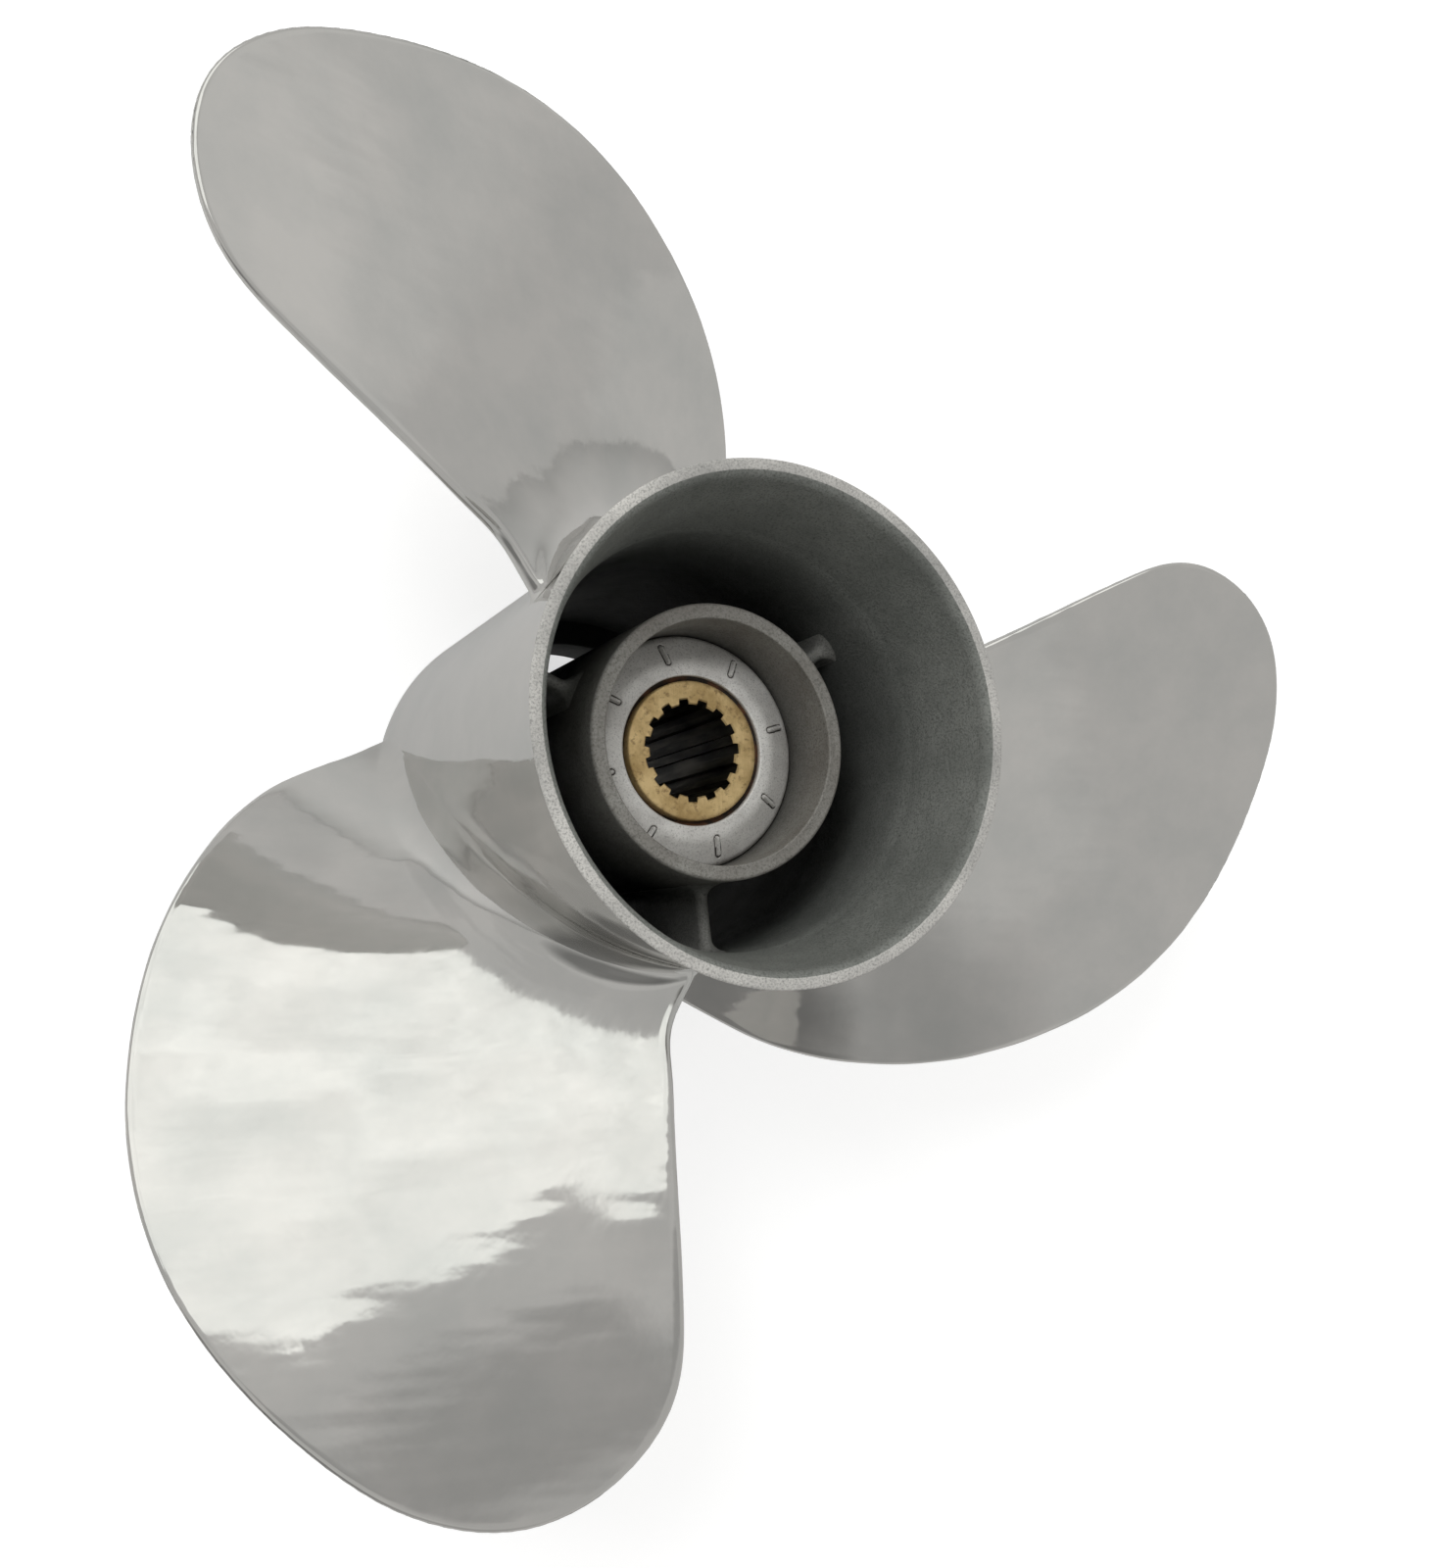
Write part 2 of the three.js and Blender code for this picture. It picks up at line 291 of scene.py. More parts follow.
def polished_steel():
    """Buffed stainless casting: near-mirror, with faint waves, hand-buffing ripples and water marks."""
    steel = Shader("polished_steel")
    steel.base(Metallic=1.0)
    marks = steel.noise(38.0, detail=5.0, roughness=0.6)
    steel.colour(steel.mix(steel.spread(marks, 0.35, 0.72), (0.675, 0.662, 0.64), (0.59, 0.592, 0.575)))
    buffing = steel.noise(60.0, detail=4.0, place=steel.stretched((1.0, 1.0, 14.0)))
    steel.roughness(steel.spread(buffing, 0.3, 0.75, 0.045, 0.1))
    waves = steel.noise(22.0, detail=1.0)
    ripples = steel.noise(34.0, detail=1.0, place=steel.stretched((1.0, 5.0, 2.0)))
    peel = steel.noise(240.0, detail=2.0)
    steel.bump((waves, 0.0010), (ripples, 0.00009), (peel, 0.000012))
    return steel.material


def blasted_steel(name, light, dark, soot_and_shade=None):
    """Bead-blasted stainless: speckled grain and dull stains. The last argument gives two heights between
    which the colour deepens to near-black: partly soot, partly painted shade deep in the hub.
    """
    steel = Shader(name)
    steel.base(Metallic=0.35, Specular_IOR_Level=0.25)
    stains = steel.noise(45.0, detail=6.0, roughness=0.65)
    grain = steel.noise(1900.0, detail=4.0, roughness=0.7)
    pits = steel.noise(520.0, detail=5.0, roughness=0.7)
    even = steel.mix(steel.spread(stains, 0.35, 0.7), light, dark)
    speck = tuple(0.55 * c for c in dark)
    colour = steel.mix(steel.spread(grain, 0.46, 0.72), even, speck)
    if soot_and_shade is not None:
        # Painted shade: the colour fades to near-black towards the front, standing partly for soot and partly
        # for the shade deep in the hub.
        depth = steel.spread(steel.height(), soot_and_shade[0] * MM, soot_and_shade[1] * MM)
        colour = steel.mix(depth, (0.006, 0.008, 0.007), colour)
    steel.colour(colour)
    steel.roughness(steel.spread(stains, 0.3, 0.7, 0.42, 0.62))
    steel.bump((grain, 0.00018), (pits, 0.00022))
    return steel.material


def plated_steel(name, light, dark):
    """Satin plated steel sheet, dulled in patches and freckled."""
    steel = Shader(name)
    steel.base(Metallic=0.4)
    patches = steel.noise(90.0, detail=5.0, roughness=0.65)
    freckles = steel.noise(2200.0, detail=3.0, roughness=0.7)
    even = steel.mix(steel.spread(patches, 0.35, 0.68), light, dark)
    speck = tuple(0.6 * c for c in dark)
    steel.colour(steel.mix(steel.spread(freckles, 0.52, 0.74), even, speck))
    steel.roughness(steel.spread(patches, 0.3, 0.7, 0.4, 0.56))
    steel.bump((freckles, 0.0001))
    return steel.material


def stained_brass():
    """Machined brass with turning marks, brown water stains and specks."""
    brass = Shader("sleeve_brass")
    brass.base(Metallic=0.7)
    clouds = brass.noise(150.0, detail=6.0, roughness=0.65)
    specks = brass.noise(700.0, detail=3.0, roughness=0.65)
    even = brass.mix(brass.spread(clouds, 0.36, 0.66), (0.8, 0.6, 0.3), (0.52, 0.36, 0.155))
    brass.colour(brass.mix(brass.spread(specks, 0.54, 0.72), even, (0.34, 0.22, 0.1)))
    brass.roughness(brass.spread(clouds, 0.3, 0.7, 0.38, 0.58))
    scratches = brass.noise(1500.0, place=brass.stretched((1.0, 0.04, 1.0)))
    brass.bump((specks, 0.00012), (scratches, 0.0001))
    return brass.material


def greased_shaded_brass():
    """The spline bore: the same brass under old dark grease, and darkened further as painted shade down the
    bore.
    """
    brass = Shader("greased_shaded_brass")
    brass.base(Metallic=0.7)
    grease = brass.noise(300.0, detail=4.0, place=brass.stretched((1.0, 1.0, 0.2)))
    # Near-black colours: partly grease, partly painted shade down the bore.
    brass.colour(brass.mix(brass.spread(grease, 0.4, 0.62), (0.05, 0.044, 0.028), (0.006, 0.005, 0.004)))
    brass.roughness(brass.spread(grease, 0.3, 0.7, 0.3, 0.5))
    brass.bump((grease, 0.0002))
    return brass.material


def bush_rubber():
    """Aged rubber with rusty deposits."""
    rubber = Shader("bush_rubber")
    deposits = rubber.noise(260.0, detail=5.0)
    rubber.colour(rubber.mix(rubber.spread(deposits, 0.45, 0.65), (0.02, 0.016, 0.014), (0.11, 0.05, 0.025)))
    rubber.roughness(rubber.spread(deposits, 0.3, 0.7, 0.6, 0.9))
    rubber.bump((deposits, 0.0002))
    return rubber.material


def plain(name, shade, glow=0.0):
    """An even matte material for the stage, which can also glow."""
    matte = Shader(name)
    matte.base(Base_Color=(shade, shade, shade, 1), Roughness=0.9)
    matte.base(Emission_Color=(1, 1, 1, 1), Emission_Strength=glow)
    return matte.material


POLISHED = polished_steel()
# The deep inside, the ribs and the barrel darken to near-black towards the front: partly soot, partly painted
# shade.
INSIDE = blasted_steel("blasted_steel", (0.32, 0.33, 0.31), (0.2, 0.21, 0.195), soot_and_shade=(80.0, 120.0))
RIM_FACE = blasted_steel("rim_steel", (0.76, 0.745, 0.71), (0.44, 0.435, 0.42))
RIB_STEEL = blasted_steel("rib_steel", (0.3, 0.3, 0.28), (0.2, 0.2, 0.19), soot_and_shade=(62.0, 98.0))
# Painted light: a lighter copy of the blasted steel for the collar bore, standing for the light that reaches
# it from the front.
COLLAR_PAINTED_LIGHT = blasted_steel("collar_painted_light", (0.6, 0.6, 0.58), (0.45, 0.45, 0.43))
BARREL_STEEL = blasted_steel(
    "barrel_steel", (0.36, 0.355, 0.33), (0.24, 0.225, 0.205), soot_and_shade=(84.0, 112.0))
PLATED = plated_steel("plated_steel", (0.84, 0.83, 0.8), (0.6, 0.585, 0.56))
# Painted shade: a dark copy of the plated steel for the grooves round the plate's ribs.
PLATE_CREASE_SHADE = plated_steel("plate_crease_shade", (0.14, 0.13, 0.12), (0.07, 0.065, 0.06))
BRASS = stained_brass()
GREASED_SHADED_BRASS = greased_shaded_brass()
RUBBER = bush_rubber()


# ---- Hub shell ----

def hub_shell():
    """The exhaust barrel: polished outside, bead-blasted inside, with a flared rim and a front collar."""
    rise = RIM_RADIUS - HUB_RADIUS
    flare_radius = (FLARE_LENGTH ** 2 + rise ** 2) / (2 * rise)
    edge = 0.45
    flare_start = HUB_LENGTH - edge - FLARE_LENGTH
    steps = np.linspace(0, 1, 17)
    swell = flare_radius - np.sqrt(flare_radius ** 2 - (FLARE_LENGTH * steps) ** 2)
    flare = [(HUB_RADIUS + out, flare_start + FLARE_LENGTH * t) for out, t in zip(swell, steps)]
    chamfer = 1.1
    bore_rise = RIM_BORE_RADIUS - chamfer - HUB_BORE_RADIUS
    bore_flare = [(HUB_BORE_RADIUS + bore_rise * t ** 1.5, HUB_LENGTH - chamfer - BORE_FLARE_LENGTH * (1 - t))
                  for t in np.linspace(1, 0, 15)]
    front_round = 1.2
    outside = arc((HUB_RADIUS - front_round, front_round), front_round, -90, 0, 7)
    outside += [(HUB_RADIUS, z) for z in np.linspace(4, flare_start - 2, 24)]
    outside += flare
    rim_edge = arc((RIM_RADIUS - edge, HUB_LENGTH - edge), edge, 0, 90, 6)[1:]
    rim_inner = [(RIM_BORE_RADIUS + 0.35, HUB_LENGTH), (RIM_BORE_RADIUS + 0.1, HUB_LENGTH - 0.1)]
    step_height = HUB_LENGTH - 26
    bore = bore_flare + [(HUB_BORE_RADIUS, step_height), (HUB_BORE_RADIUS - 0.35, step_height - 1.5)]
    bore += [(HUB_BORE_RADIUS, z) for z in np.linspace(HUB_LENGTH - 34, 24, 18)]
    collar_top = COLLAR_HEIGHT + COLLAR_SHOULDER
    collar = [(HUB_BORE_RADIUS, collar_top + 0.5), (HUB_BORE_RADIUS - 0.3, collar_top)]
    collar += [(COLLAR_BORE_RADIUS + 0.3, COLLAR_HEIGHT + 0.2), (COLLAR_BORE_RADIUS, COLLAR_HEIGHT - 0.3)]
    collar += [(COLLAR_BORE_RADIUS, 0.6), (COLLAR_BORE_RADIUS + 0.6, 0)]
    # The collar's shoulder keeps the inside material, whose painted shade turns it black. The collar bore
    # takes the lighter copy, painted light.
    sections = ((outside[:-1], 0), (outside[-1:] + rim_edge, 1), (rim_inner[:-1], 1))
    sections += ((rim_inner[-1:] + bore, 2), (collar[:4], 2), (collar[4:], 3))
    profile = [point for points, _ in sections for point in points]
    strips = [slot for points, slot in sections for _ in points]

    # The strip that closes the profile is the polished front ring.
    strips[-1] = 0
    materials = [POLISHED, RIM_FACE, INSIDE, COLLAR_PAINTED_LIGHT]
    return turned("hub_shell_casting", profile, materials, strips, segments=320)


# ---- Inner barrel and ribs ----

def inner_barrel():
    """The tube that holds the bush, with an eased flat ring at its aft end."""
    outer_round = 0.9
    inner_round = 0.45
    profile = [(BARREL_BORE_RADIUS + 0.6, BARREL_FRONT), (BARREL_RADIUS - 0.6, BARREL_FRONT)]
    profile += [(BARREL_RADIUS, z) for z in np.linspace(BARREL_FRONT + 0.6, BARREL_AFT - 6, 18)]
    profile += arc((BARREL_RADIUS - outer_round, BARREL_AFT - outer_round), outer_round, 0, 90, 7)
    profile += [(BARREL_RADIUS - 1.7, BARREL_AFT - 0.12), (BARREL_BORE_RADIUS + 1.1, BARREL_AFT - 0.1)]
    profile += arc((BARREL_BORE_RADIUS + inner_round, BARREL_AFT - inner_round), inner_round, 80, 180, 6)
    profile += [(BARREL_BORE_RADIUS, z) for z in np.linspace(BARREL_AFT - 3, BARREL_FRONT + 0.6, 24)]
    return turned("inner_barrel_casting", profile, [BARREL_STEEL], segments=192)


def exhaust_rib(number):
    """A web whose faces and ends flare into the barrel and the shell."""
    fillet = 3.5
    bury = 0.6
    end_relief = 2.6
    half = RIB_THICKNESS / 2
    inner, outer = BARREL_RADIUS - bury, HUB_BORE_RADIUS + bury
    radii = np.concatenate([
        inner + (fillet + bury) * (1 - np.cos(np.linspace(0, math.pi / 2, 9))),
        np.linspace(inner + fillet + bury, outer - fillet - bury, 6)[1:-1],
        outer - (fillet + bury) * (1 - np.cos(np.linspace(math.pi / 2, 0, 9))),
    ])
    loops = []
    for radius in radii:
        height = max(min(radius - BARREL_RADIUS, HUB_BORE_RADIUS - radius), 0)
        proud = float(fillet_offset(height, fillet))
        width = half + proud
        top = RIB_AFT - half - end_relief + proud
        bottom = RIB_FRONT + half + end_relief - proud
        round_top = np.radians(np.linspace(0, 180, 13))
        loop = [(radius, width * math.cos(a), top + half * math.sin(a)) for a in round_top]
        loop += [(radius, -width, z) for z in np.linspace(top, bottom, 12)[1:-1]]
        loop += [(radius, -width * math.cos(a), bottom - half * math.sin(a)) for a in round_top]
        loop += [(radius, width, z) for z in np.linspace(bottom, top, 12)[1:-1]]
        loops.append(loop)
    vertices, quads = loft(loops)
    count = len(loops[0])
    last = len(vertices) - count
    caps = [list(range(count))[::-1], list(range(last, last + count))]
    faces = [list(q) for q in quads] + caps
    piece = make_piece(f"exhaust_rib_{number + 1}_casting", vertices, faces, [RIB_STEEL])
    return spin(piece, FIRST_RIB_ANGLE + number * 360 / RIB_COUNT)


# ---- Blades ----

def outline_at(count):
    """Radius and degrees on the blade's outline, counted in outline points: a uniform Catmull-Rom curve."""
    points = BLADE_OUTLINE
    padded = np.vstack([2 * points[0] - points[1], points, 2 * points[-1] - points[-2]])
    count = np.asarray(count, float)
    start = np.clip(count.astype(int), 0, len(points) - 2)
    t = (count - start)[..., None]
    before, here, after, later = (padded[start + k] for k in range(4))
    leaving = (after - before) / 2
    arriving = (later - here) / 2
    return ((2 * here - 2 * after + leaving + arriving) * t ** 3
            + (3 * after - 3 * here - 2 * leaving - arriving) * t ** 2 + leaving * t + here)


def patch_point(chord, span):
    """Radius and degrees at a place in the outline: across the chord, and up the span."""
    last = len(BLADE_OUTLINE) - 1
    across = chord[..., None]
    up = span[..., None]
    leading = outline_at(span * LEADING_CORNER)
    trailing = outline_at(last - span * (last - TRAILING_CORNER))
    tip = outline_at(LEADING_CORNER + chord * (TRAILING_CORNER - LEADING_CORNER))
    first, end = outline_at(0.0), outline_at(float(last))
    near, far = outline_at(LEADING_CORNER), outline_at(TRAILING_CORNER)
    root = first + (end - first) * across
    corners = root + (near + (far - near) * across - root) * up
    return leading + (trailing - leading) * across + (root + (tip - root) * up) - corners


def face_height(radius, angle):
    """Height of the blade's middle surface: a screw of steady pitch, raked aft and eased near the hub."""
    lean = NOSE_DROOP * np.minimum(angle, 0) ** 2 * (NOSE_DROOP_END - radius) / NOSE_DROOP_SPAN
    easing = TWIST_EASING * angle * (REFERENCE_RADIUS - radius) / (REFERENCE_RADIUS - HUB_RADIUS)
    return (REFERENCE_HEIGHT + PITCH * angle / (2 * math.pi)
            + RAKE * (radius - REFERENCE_RADIUS) - lean - easing)


def blade_place(radius, degrees, depth=0.0):
    """Points of the blade, moved square to the driving face by a depth, which is positive forward."""
    angle = np.radians(degrees)
    slope = np.arctan2(PITCH / (2 * math.pi), radius)
    turned_angle = angle + depth * np.sin(slope) / radius
    height = face_height(radius, angle) - depth * np.cos(slope)
    return np.stack([radius * np.cos(turned_angle), radius * np.sin(turned_angle), height], axis=-1)


def edge_spacing(edge, length, middle_steps, edge_steps=6):
    """Distances from 0 to a length, drawn together over a rounded edge at each end."""
    rounded = 1 - np.cos(np.linspace(0, math.pi / 2, edge_steps))
    middle = np.linspace(0, 1, middle_steps)[1:-1]
    start = edge[..., None] * rounded
    centre = edge[..., None] + (length - 2 * edge)[..., None] * middle
    return np.concatenate([start, centre, length[..., None] - start[..., ::-1]], axis=-1)


def edge_thickness(radius):
    """Thickness just inside the rounded edge, which grows towards the hub."""
    outer_edge, root_extra, fade = 2.0, 1.8, 22.0
    return outer_edge + root_extra * np.exp(-(radius - HUB_RADIUS) / fade)


def chord_length(span):
    """The blade's width along its surface at one place up the span."""
    chords = np.linspace(0, 1, 40)
    radius, degrees = patch_point(chords, np.full_like(chords, span)).T
    steps = np.diff(blade_place(radius, degrees), axis=0)
    return float(np.linalg.norm(steps, axis=1).sum())


def blade_row(span, flare=0.0):
    """Chord places across a row, their distances from the nearer edge, and the rounded edge's width."""
    length = chord_length(span)
    edge = np.array(EDGE_ROUND + flare)
    total = np.array(length + 2 * flare)
    along = edge_spacing(edge, total, 76)
    return (along - flare) / length, np.minimum(along, total - along), float(edge)


def blade_sides(place, chord, distance, edge, proud=(0.0, 0.0)):
    """Points on the driving face and on the forward face, which meet in a rounded edge."""
    radius, degrees = place
    inward = np.clip(distance / edge, 0, 1)
    roundness = (1 - (1 - inward) ** 2.4) ** (1 / 2.4)
    part = np.clip((radius - HUB_RADIUS) / (TIP_RADIUS - HUB_RADIUS), 0, 1)
    rim = edge_thickness(radius)
    middle = ROOT_THICKNESS + (TIP_THICKNESS - ROOT_THICKNESS) * part ** 0.8
    thickness = rim + np.maximum(middle - rim, 0) * np.sin(math.pi * np.clip(chord, 0, 1))
    driving = blade_place(radius, degrees, -(rim / 2 + proud[0]) * roundness)
    forward = blade_place(radius, degrees, (thickness - rim / 2 + proud[1]) * roundness)
    return driving, forward


def blade_grids():
    """The driving and forward faces as two grids of points, in rows from the root to the tip."""
    root_chord, _, _ = blade_row(0.0)
    low_spans = np.linspace(0, 0.3, 120)
    low_radii = np.array([patch_point(root_chord, np.full_like(root_chord, s))[:, 0] for s in low_spans])

    def spans_for(radius):
        """How far up the span each column reaches its radius."""
        return np.array([np.interp(r, reached, low_spans) for r, reached in zip(radius, low_radii.T)])

    # A row buried in the hub, then the rows that climb the round root fillet.
    bury, fillet_rows = 1.0, 13
    rows = []
    for buried, turn in [(True, 0.0)] + [(False, t) for t in np.linspace(0, math.pi / 2, fillet_rows)]:
        flare = EDGE_FILLET * (1 - math.sin(turn))
        chord, distance, edge = blade_row(0.0, flare)
        bulge = np.sin(math.pi * np.clip(chord, 0, 1) ** 1.3) ** 0.6
        aft_size = EDGE_FILLET + (AFT_FILLET - EDGE_FILLET) * bulge
        front_size = EDGE_FILLET + (FRONT_FILLET - EDGE_FILLET) * bulge
        height = np.full_like(chord, -bury) if buried else aft_size * (1 - math.cos(turn))
        radius = HUB_RADIUS + height
        degrees = patch_point(chord, spans_for(radius))[:, 1]
        proud = (fillet_offset(height, aft_size), fillet_offset(height, front_size))
        rows.append(blade_sides((radius, degrees), chord, distance, edge, proud))

    # Above the fillet each column runs from its own height to the tip, with close rows at the tip's edge.
    first_span = spans_for(radius)
    tip_spacing = np.array([0.0, 0.02, 0.08, 0.18, 0.35, 0.6, 1.0]) / 110
    outline = outline_at(np.linspace(0, len(BLADE_OUTLINE) - 1, 1500))
    outline_points = blade_place(outline[:, 0], outline[:, 1])
    for climb in np.concatenate([np.linspace(0, 1, 64)[1:-1], 1 - tip_spacing[::-1]]):
        span = first_span + (1 - first_span) * climb
        chord, _, edge = blade_row(float(span.mean()))
        radius, degrees = patch_point(chord, span).T
        to_outline = blade_place(radius, degrees)[:, None] - outline_points[None]
        distance = np.linalg.norm(to_outline, axis=2).min(axis=1)
        distance[[0, -1]] = 0
        distance[span > 0.999999] = 0
        rows.append(blade_sides((radius, degrees), chord, distance, edge))
    driving, forward = zip(*rows)
    return np.array(driving), np.array(forward)


def grid_quads(index):
    """The quads of a grid of vertex numbers."""
    return np.stack([index[:-1, :-1], index[:-1, 1:], index[1:, 1:], index[1:, :-1]], axis=-1).reshape(-1, 4)


def blade(number):
    """A blade with rounded edges, thickening to a root that flares into the hub through a round fillet."""
    driving, forward = blade_grids()
    rows, columns, _ = driving.shape
    driving_index = np.arange(rows * columns).reshape(rows, columns)

    # The forward face shares the driving face's vertices at the two edges and the tip.
    forward_index = driving_index.copy()
    inner = np.arange((rows - 1) * (columns - 2)).reshape(rows - 1, columns - 2)
    forward_index[:-1, 1:-1] = rows * columns + inner
    vertices = np.concatenate([driving.reshape(-1, 3), forward[:-1, 1:-1].reshape(-1, 3)])
    faces = [tuple(quad) for quad in grid_quads(driving_index)]
    faces += [tuple(quad) for quad in grid_quads(forward_index[:, ::-1])]

    # The buried end of the root is closed, with triangles at its two ends.
    near, far = driving_index[0], forward_index[0]
    for j in range(columns - 1):
        cap = (near[j + 1], near[j], far[j], far[j + 1])
        faces.append(tuple(dict.fromkeys(cap)))
    piece = make_piece(f"blade_{number + 1}_casting", vertices, faces, [POLISHED], sharp_angle=60)
    return spin(piece, number * 360 / BLADE_COUNT)


# ---- End plate, bush and sleeve ----

def plate_top(radius, angle):
    """Height of the plate's upper side, and the groove faces that get painted crease shade: a flat centre, a
    slope and stamped ribs.
    """
    slope = PLATE_DISH / (PLATE_RADIUS - PLATE_FLAT_RADIUS)
    bend = 1.2
    past = radius - PLATE_FLAT_RADIUS
    drop = slope * np.where(past > bend, past, np.where(past < -bend, 0, (past + bend) ** 2 / (4 * bend)))
    over = np.clip(radius - (PLATE_RADIUS - PLATE_ROLL), 0, PLATE_ROLL)
    drop = drop + PLATE_ROLL - np.sqrt(PLATE_ROLL ** 2 - over ** 2)
    step = 2 * math.pi / PLATE_RIB_COUNT
    off_rib = (angle - math.radians(FIRST_PLATE_RIB_ANGLE) + step / 2) % step - step / 2
    across = radius * np.sin(off_rib)
    rib_start, rib_end, rib_half = 22.3, 26.2, 0.62
    rib_rise, rib_shoulder = 0.8, 0.35
    groove_depth, groove_half, groove_offset = 0.35, 0.18, 0.12
    along = np.clip(radius, rib_start, rib_end) - radius
    away = np.hypot(across, along)
    crown = np.clip((rib_half - away) / rib_shoulder, 0, 1)
    rib = rib_rise * crown * crown * (3 - 2 * crown)
    groove = groove_depth * np.exp(-((away - rib_half - groove_offset) / groove_half) ** 2)
    # Faces deep in the groove round each rib are marked for the dark crease colour, painted shade.
    return SLEEVE_AFT - drop + rib - groove, groove > 0.16


def end_plate():
    """The stamped washer over the bush, its rim rolled down and its upper side ribbed."""
    segments = 960
    angles = np.linspace(0, 2 * math.pi, segments, endpoint=False)
    radii = np.concatenate([
        np.linspace(PLATE_BORE_RADIUS + 0.25, 20.8, 6),
        np.linspace(21.0, 27.5, 55),
        PLATE_RADIUS - PLATE_ROLL * (1 - np.sin(np.linspace(0.2, math.pi / 2, 9))),
    ])
    top = []
    for r in radii:
        height, _ = plate_top(np.full(segments, r), angles)
        top.append(np.stack([r * np.cos(angles), r * np.sin(angles), height], axis=-1))

    circle = np.stack([np.cos(angles), np.sin(angles), np.zeros(segments)], axis=-1)

    def ring(radius, height):
        return circle * radius + np.array([0, 0, height])

    slope = PLATE_DISH / (PLATE_RADIUS - PLATE_FLAT_RADIUS)
    under = SLEEVE_AFT - PLATE_THICKNESS
    below = [ring(PLATE_RADIUS, PLATE_UNDERSIDE + 0.4), ring(PLATE_RADIUS - 0.4, PLATE_UNDERSIDE)]
    below += [ring(r, under - slope * (r - PLATE_FLAT_RADIUS))
              for r in np.linspace(PLATE_RADIUS - 1, PLATE_FLAT_RADIUS, 6)]
    below += [ring(PLATE_BORE_RADIUS + 0.2, under), ring(PLATE_BORE_RADIUS, under + 0.2)]
    below += [ring(PLATE_BORE_RADIUS, SLEEVE_AFT - 0.25)]
    vertices, quads = loft(top + below, closed_along=True)
    middle = vertices[quads].mean(axis=1)
    # The groove faces get the dark crease colour: painted shade.
    _, crease_shade_faces = plate_top(np.hypot(middle[:, 0], middle[:, 1]), np.arctan2(middle[:, 1], middle[:, 0]))
    return make_piece("end_plate_pressing", vertices, quads, [PLATED, PLATE_CREASE_SHADE], crease_shade_faces, sharp_angle=50)


def rubber_bush():
    """The torsion bush, bulging a little where the plate presses it towards the sleeve."""
    bore = SLEEVE_RADIUS + 0.1
    aft = SLEEVE_AFT - PLATE_THICKNESS - 0.1
    profile = [(bore, BUSH_FRONT + 1), (bore + 1, BUSH_FRONT), (BUSH_RADIUS - 1, BUSH_FRONT)]
    profile += [(BUSH_RADIUS, z) for z in np.linspace(BUSH_FRONT + 1, aft - PLATE_DISH - 1, 12)]
    profile += [(PLATE_FLAT_RADIUS, aft - 0.2), (19.0, aft), (18.2, aft - 0.3), (bore, aft - 1.2)]
    return turned("rubber_bush_moulding", profile, [RUBBER], segments=128)


def brass_sleeve():
    """The splined drive sleeve, with chamfered mouths and a tapered seat at its front."""
    step = 2 * math.pi / SPLINE_COUNT
    root_half = SPLINE_GROOVE_WIDTH / 2 / SPLINE_MAJOR_RADIUS
    mouth_half = SPLINE_GROOVE_WIDTH / 2 / SPLINE_MINOR_RADIUS + math.radians(0.6)
    wall = 6
    groove = np.linspace(-root_half, root_half, wall)
    right = np.linspace(root_half, mouth_half, wall)[1:]
    land = np.linspace(mouth_half, step - mouth_half, 10)[1:-1]
    left = np.linspace(step - mouth_half, step - root_half, wall)[:-1]
    offsets = np.concatenate([groove, right, land, left])
    depth = SPLINE_MAJOR_RADIUS - SPLINE_MINOR_RADIUS
    near = np.abs((offsets + step / 2) % step - step / 2)
    share = np.clip((mouth_half - near) / (mouth_half - root_half), 0, 1)
    radii = SPLINE_MINOR_RADIUS + depth * share
    count = SPLINE_COUNT * len(offsets)
    first = math.radians(FIRST_GROOVE_ANGLE)
    angles = np.concatenate([first + k * step + offsets for k in range(SPLINE_COUNT)])
    inner = np.tile(radii, SPLINE_COUNT)

    def ring(radius, height):
        radius = np.broadcast_to(radius, (count,))
        return np.stack([radius * np.cos(angles), radius * np.sin(angles), np.full(count, height)], axis=-1)

    chamfer = 0.35
    aft, fore = SLEEVE_AFT, SLEEVE_FRONT
    seat_radius, seat_depth = 15.0, 6.0
    loops = [ring(SLEEVE_RADIUS, z) for z in np.linspace(fore + chamfer, aft - chamfer, 8)]
    loops += [ring(SLEEVE_RADIUS - chamfer * 0.4, aft - chamfer * 0.35), ring(SLEEVE_RADIUS - chamfer, aft)]
    loops += [ring(SLEEVE_RADIUS - 1.2, aft), ring(inner + chamfer, aft), ring(inner, aft - chamfer)]
    loops += [ring(inner, z) for z in np.linspace(aft - 4, fore + seat_depth + 1, 8)]
    loops += [ring(np.maximum(inner, 12.75), fore + seat_depth - 2), ring(seat_radius, fore)]
    loops += [ring(SLEEVE_RADIUS - chamfer, fore)]
    vertices, quads = loft(loops, closed_along=True)
    middle = vertices[quads].mean(axis=1)
    # The bore's faces take the near-black brass: partly grease, partly painted shade.
    in_bore = (np.hypot(middle[:, 0], middle[:, 1]) < 13.2) & (middle[:, 2] < aft - chamfer)
    return make_piece("brass_sleeve_machined", vertices, quads, [BRASS, GREASED_SHADED_BRASS], in_bore, sharp_angle=32)


# ---- Assembly ----

def place(piece, body, node, slot):
    """Puts a piece on its body, in the place of its CAD node. slot is not used."""
    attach(piece, body)
    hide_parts(node)


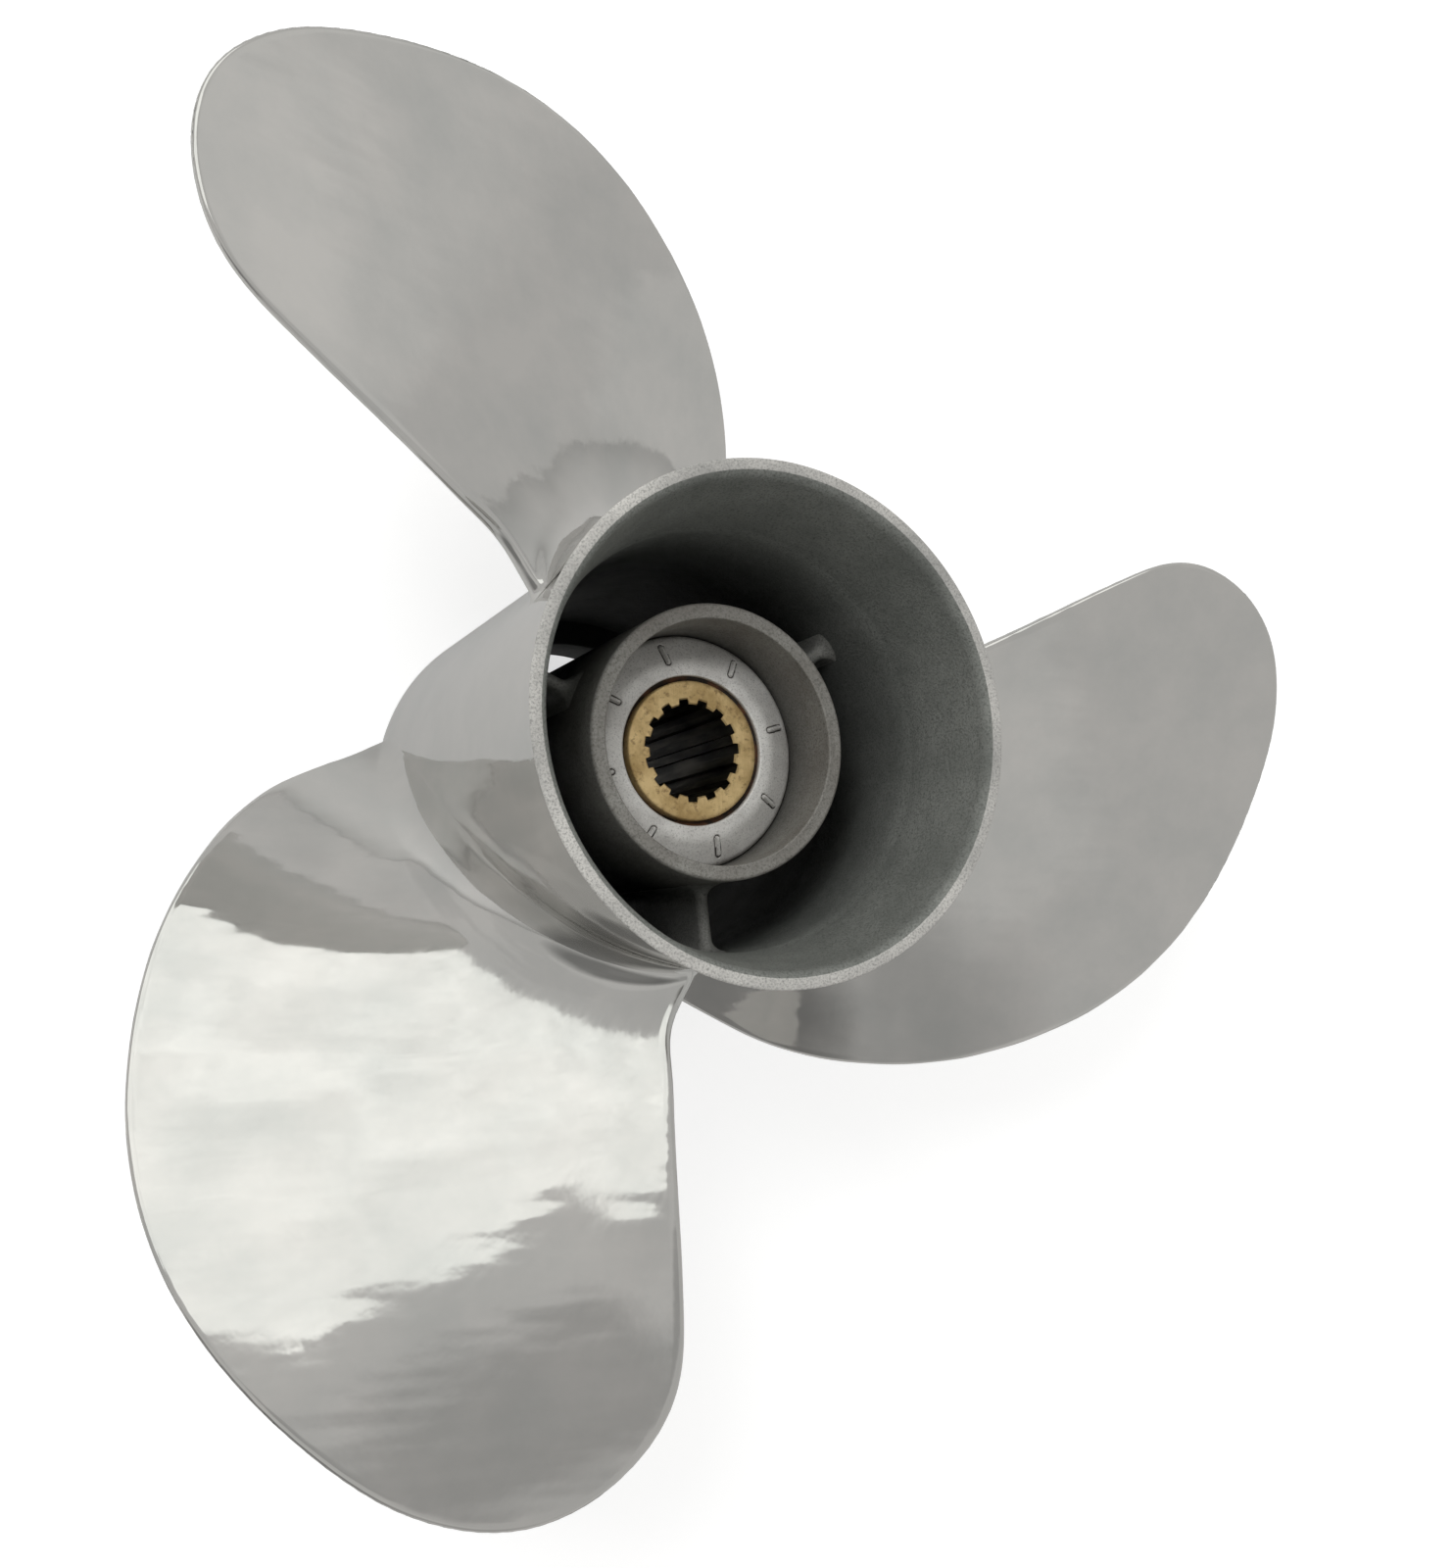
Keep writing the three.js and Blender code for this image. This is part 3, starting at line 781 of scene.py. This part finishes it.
place(hub_shell(), "casting", "hub_shell", "polished_steel")
place(inner_barrel(), "casting", "inner_barrel", "blasted_steel")
for number in range(RIB_COUNT):
    place(exhaust_rib(number), "casting", f"exhaust_rib_{number + 1}", "blasted_steel")
for number in range(BLADE_COUNT):
    place(blade(number), "casting", f"blade_{number + 1}", "polished_steel")
place(end_plate(), "casting", "end_plate", "plated_steel")
place(rubber_bush(), "casting", "rubber_bush", "bush_rubber")
place(brass_sleeve(), "drive_sleeve", "brass_sleeve", "sleeve_brass")


# ---- Stage, light and camera ----

# The bright part of the sky, as degrees round from +X and degrees up.
WINDOW = [
    (76, 25), (92, 18), (108, 19), (117, 28), (128, 38), (150, 44), (150, 56),
    (134, 61), (128, 59), (117, 63), (110, 67), (104, 63), (70, 61),
]

# Soft round patches of the sky: direction, the cosines where the patch begins and is full, and brightness.
SKY_SPOTS = [
    ((-0.32, -0.56, 0.765), 0.9, 0.98, 0.72),
    ((-0.18, 0.37, 0.91), 0.975, 0.993, 1.12),
    ((-0.2, 0.25, 0.947), 0.9935, 0.998, 0.7),
    ((-0.73, -0.55, 0.405), 0.9, 0.965, 0.42),
    ((0.64, 0.61, 0.47), 0.955, 0.99, 1.14),
]


def stage():
    """A white sweep that only the camera sees, over the grey ground that the steel mirrors."""
    floor_radius, bend, height = 4000.0, 1500.0, 6000.0
    outline = [(0.01, 0), (floor_radius, 0)] + arc((floor_radius, bend), bend, -90, 0, 24)[1:]
    outline += [(floor_radius + bend, height), (0.01, height)]
    angles = np.linspace(0, 2 * math.pi, 96, endpoint=False)
    circle = np.stack([np.cos(angles), np.sin(angles), np.zeros(96)], axis=-1)
    vertices, quads = loft([circle * r + np.array([0, 0, z]) for r, z in outline])
    sweep = make_piece("sweep", vertices, quads, [plain("white_sheet", 0.5, glow=0.68)])
    sweep.location.z = -0.3 * MM
    sweep.visible_glossy = False
    sweep.visible_diffuse = False
    sweep.visible_shadow = False
    half = 6000.0
    corners = [(-half, -half, 0), (half, -half, 0), (half, half, 0), (-half, half, 0)]
    ground = make_piece("ground", corners, [(0, 1, 2, 3)], [plain("grey_ground", 0.73)])
    ground.location.z = -40.0 * MM
    ground.visible_camera = False


def aim(holder, target, up=(0, 0, 1)):
    """Turns a camera or light to look at a target, with its upper side towards up."""
    forward = (Vector(target) - holder.location).normalized()
    right = forward.cross(Vector(up)).normalized()
    above = right.cross(forward)
    turn = Matrix((right, above, -forward)).transposed()
    holder.rotation_euler = turn.to_euler()


def softbox(name, location, target, size, radiance):
    """A square area light that the steel doesn't mirror. radiance is the brightness of its surface."""
    light = bpy.data.lights.new(name, "AREA")
    light.shape = "SQUARE"
    light.size = size
    light.energy = radiance * math.pi * size ** 2
    holder = bpy.data.objects.new(name, light)
    bpy.context.scene.collection.objects.link(holder)
    holder.location = location
    holder.visible_glossy = False
    aim(holder, target)


def world():
    """Light grey cloud all round, with soft-edged patches, a little darker overhead."""
    surroundings = bpy.data.worlds.new("studio")
    surroundings.use_nodes = True
    tree = surroundings.node_tree
    background = tree.nodes["Background"]

    def node(kind, **inputs):
        made = tree.nodes.new(kind)
        for key, value in inputs.items():
            made.inputs[key.replace("_", " ")].default_value = value
        return made

    direction = node("ShaderNodeTexCoord").outputs["Generated"]
    split = node("ShaderNodeSeparateXYZ")
    tree.links.new(direction, split.inputs["Vector"])
    overhead = node("ShaderNodeMapRange", From_Min=0.87, From_Max=0.95, To_Min=1.0, To_Max=0.97)
    tree.links.new(split.outputs["Z"], overhead.inputs["Value"])
    cloud = node("ShaderNodeTexNoise", Scale=1.7, Detail=3.0)
    tree.links.new(direction, cloud.inputs["Vector"])
    patches = node("ShaderNodeMapRange", From_Min=0.46, From_Max=0.54, To_Min=0.555, To_Max=0.61)
    tree.links.new(cloud.outputs["Fac"], patches.inputs["Value"])
    factors = [overhead.outputs["Result"]]
    for towards, outer, inner, level in SKY_SPOTS:
        near = tree.nodes.new("ShaderNodeVectorMath")
        near.operation = "DOT_PRODUCT"
        tree.links.new(direction, near.inputs[0])
        near.inputs[1].default_value = towards
        shade = node("ShaderNodeMapRange", From_Min=outer, From_Max=inner, To_Min=1.0, To_Max=level)
        tree.links.new(near.outputs["Value"], shade.inputs["Value"])
        factors.append(shade.outputs["Result"])
    strength = patches.outputs["Result"]
    for factor in factors:
        product = tree.nodes.new("ShaderNodeMath")
        product.operation = "MULTIPLY"
        tree.links.new(strength, product.inputs[0])
        tree.links.new(factor, product.inputs[1])
        strength = product.outputs["Value"]
    tree.links.new(strength, background.inputs["Strength"])
    background.inputs["Color"].default_value = (1.0, 0.993, 0.973, 1)
    bpy.context.scene.world = surroundings


def skylight(name, corners, radiance, distance=4000.0):
    """A clouded bright card at a distance, its corners given as degrees round from +X and degrees up."""
    glow = Shader(name)
    glow.base(Base_Color=(0, 0, 0, 1), Specular_IOR_Level=0.0, Emission_Color=(0.99, 1.0, 0.97, 1))
    cloud = glow.noise(3.0, detail=8.0, roughness=0.8)
    bright = glow.spread(cloud, 0.36, 0.64, radiance * 0.86, radiance * 1.1)
    glow.link(bright, glow.surface.inputs["Emission Strength"])
    turn, rise = np.radians(np.array(corners, float)).T
    level = np.cos(rise)
    points = distance * np.stack([level * np.cos(turn), level * np.sin(turn), np.sin(rise)], axis=-1)
    points = np.vstack([points.mean(axis=0), points])
    faces = [(0, k, k % len(corners) + 1) for k in range(1, len(corners) + 1)]
    card = make_piece(name, points, faces, [glow.material])
    card.visible_camera = False


def camera():
    """A close, steep view from above the aft end, with its optical axis below the middle of the picture."""
    lens = bpy.data.cameras.new("camera")
    lens.sensor_width = 36.0
    lens.lens = 33.56
    lens.shift_y = 0.0313
    lens.clip_start = 0.01
    holder = bpy.data.objects.new("camera", lens)
    bpy.context.scene.collection.objects.link(holder)
    holder.location = (-0.1519, -0.0548, 0.4204)
    aim(holder, (-0.0144, -0.0250, HUB_LENGTH * MM), up=(-0.0426, 0.9953, 0.0869))
    bpy.context.scene.camera = holder


stage()
world()
skylight("window", WINDOW, 1.28)
softbox("key", (-0.85, 0.5, 1.3), (0, 0, 0.1), 0.4, 17.0)
camera()
bpy.context.scene.view_settings.view_transform = "Standard"
